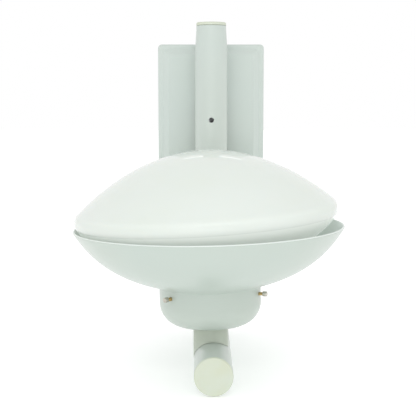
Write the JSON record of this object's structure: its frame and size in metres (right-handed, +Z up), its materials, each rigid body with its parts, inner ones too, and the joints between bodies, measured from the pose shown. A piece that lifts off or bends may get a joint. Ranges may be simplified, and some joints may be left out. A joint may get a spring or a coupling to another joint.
{
  "type": "wall uplight lamp",
  "caption": "Wall lamp: a flat wall plate and an L-shaped tube arm carry an upward-facing spun dish with a domed opal glass shade held by thumb screws.",
  "frame": {"origin": "centre of the wall bracket's back face, on the wall", "axes": "+Z up, +Y into the wall, -Y into the room along the arm, +X to the right as seen from the room"},
  "size_m": [0.2296, 0.3168, 0.3126],
  "materials": {
    "white_enamel": "gloss",
    "cream_plastic": "satin",
    "opal_glass": "gloss",
    "zinc_steel": "satin",
    "brass": "satin",
    "black_plastic": "satin",
    "ceramic": "matte",
    "rubber": "matte"
  },
  "bodies": {
    "root": {"wall_bracket": "zinc_steel", "plate_cover": "white_enamel", "tube_saddle": "black_plastic", "cable_grommet": "rubber", "pillar_upper": "zinc_steel", "pillar_lower": "zinc_steel", "tube_screw_upper": "zinc_steel", "tube_screw_lower": "zinc_steel", "terminal_block": "cream_plastic", "earth_screw": "brass", "wall_tube": "white_enamel", "wall_tube_top_cap": "cream_plastic", "wall_tube_foot_cap": "cream_plastic", "arm_tube": "white_enamel", "arm_front_cap": "cream_plastic", "post": "cream_plastic", "flex_lead": "rubber", "nipple": "brass", "nipple_nut_lower": "brass", "nipple_nut_upper": "brass", "gallery_cup": "white_enamel", "dish": "white_enamel", "holder_base": "black_plastic", "holder_insulator": "ceramic", "holder_contact": "brass", "holder_thread_shell": "brass", "holder_outer_shell": "black_plastic"},
    "glass": {"glass_shade": "opal_glass"},
    "bulb": {"bulb_contact": "brass", "bulb_cap": "zinc_steel", "bulb_glass": "opal_glass"},
    "screw_1": {"thumb_screw_1": "brass"},
    "screw_2": {"thumb_screw_2": "brass"},
    "screw_3": {"thumb_screw_3": "brass"}
  },
  "joints": [
    {"name": "glass_lift", "type": "slide", "parent": "root", "child": "glass", "axis": [-0.0227, 0, 0.9997], "range_m": [0, 0.1]},
    {"name": "bulb_unscrew", "type": "slide", "parent": "root", "child": "bulb", "axis": [-0.0227, 0, 0.9997], "range_m": [0, 0.018]},
    {"name": "thumb_screw_1_out", "type": "slide", "parent": "root", "child": "screw_1", "axis": [0.9453, -0.3256, 0.0215], "range_m": [0, 0.003]},
    {"name": "thumb_screw_2_out", "type": "slide", "parent": "root", "child": "screw_2", "axis": [-0.7545, -0.6561, -0.0171], "range_m": [0, 0.003]},
    {"name": "thumb_screw_3_out", "type": "slide", "parent": "root", "child": "screw_3", "axis": [-0.1908, 0.9816, -0.0043], "range_m": [0, 0.003]}
  ]
}
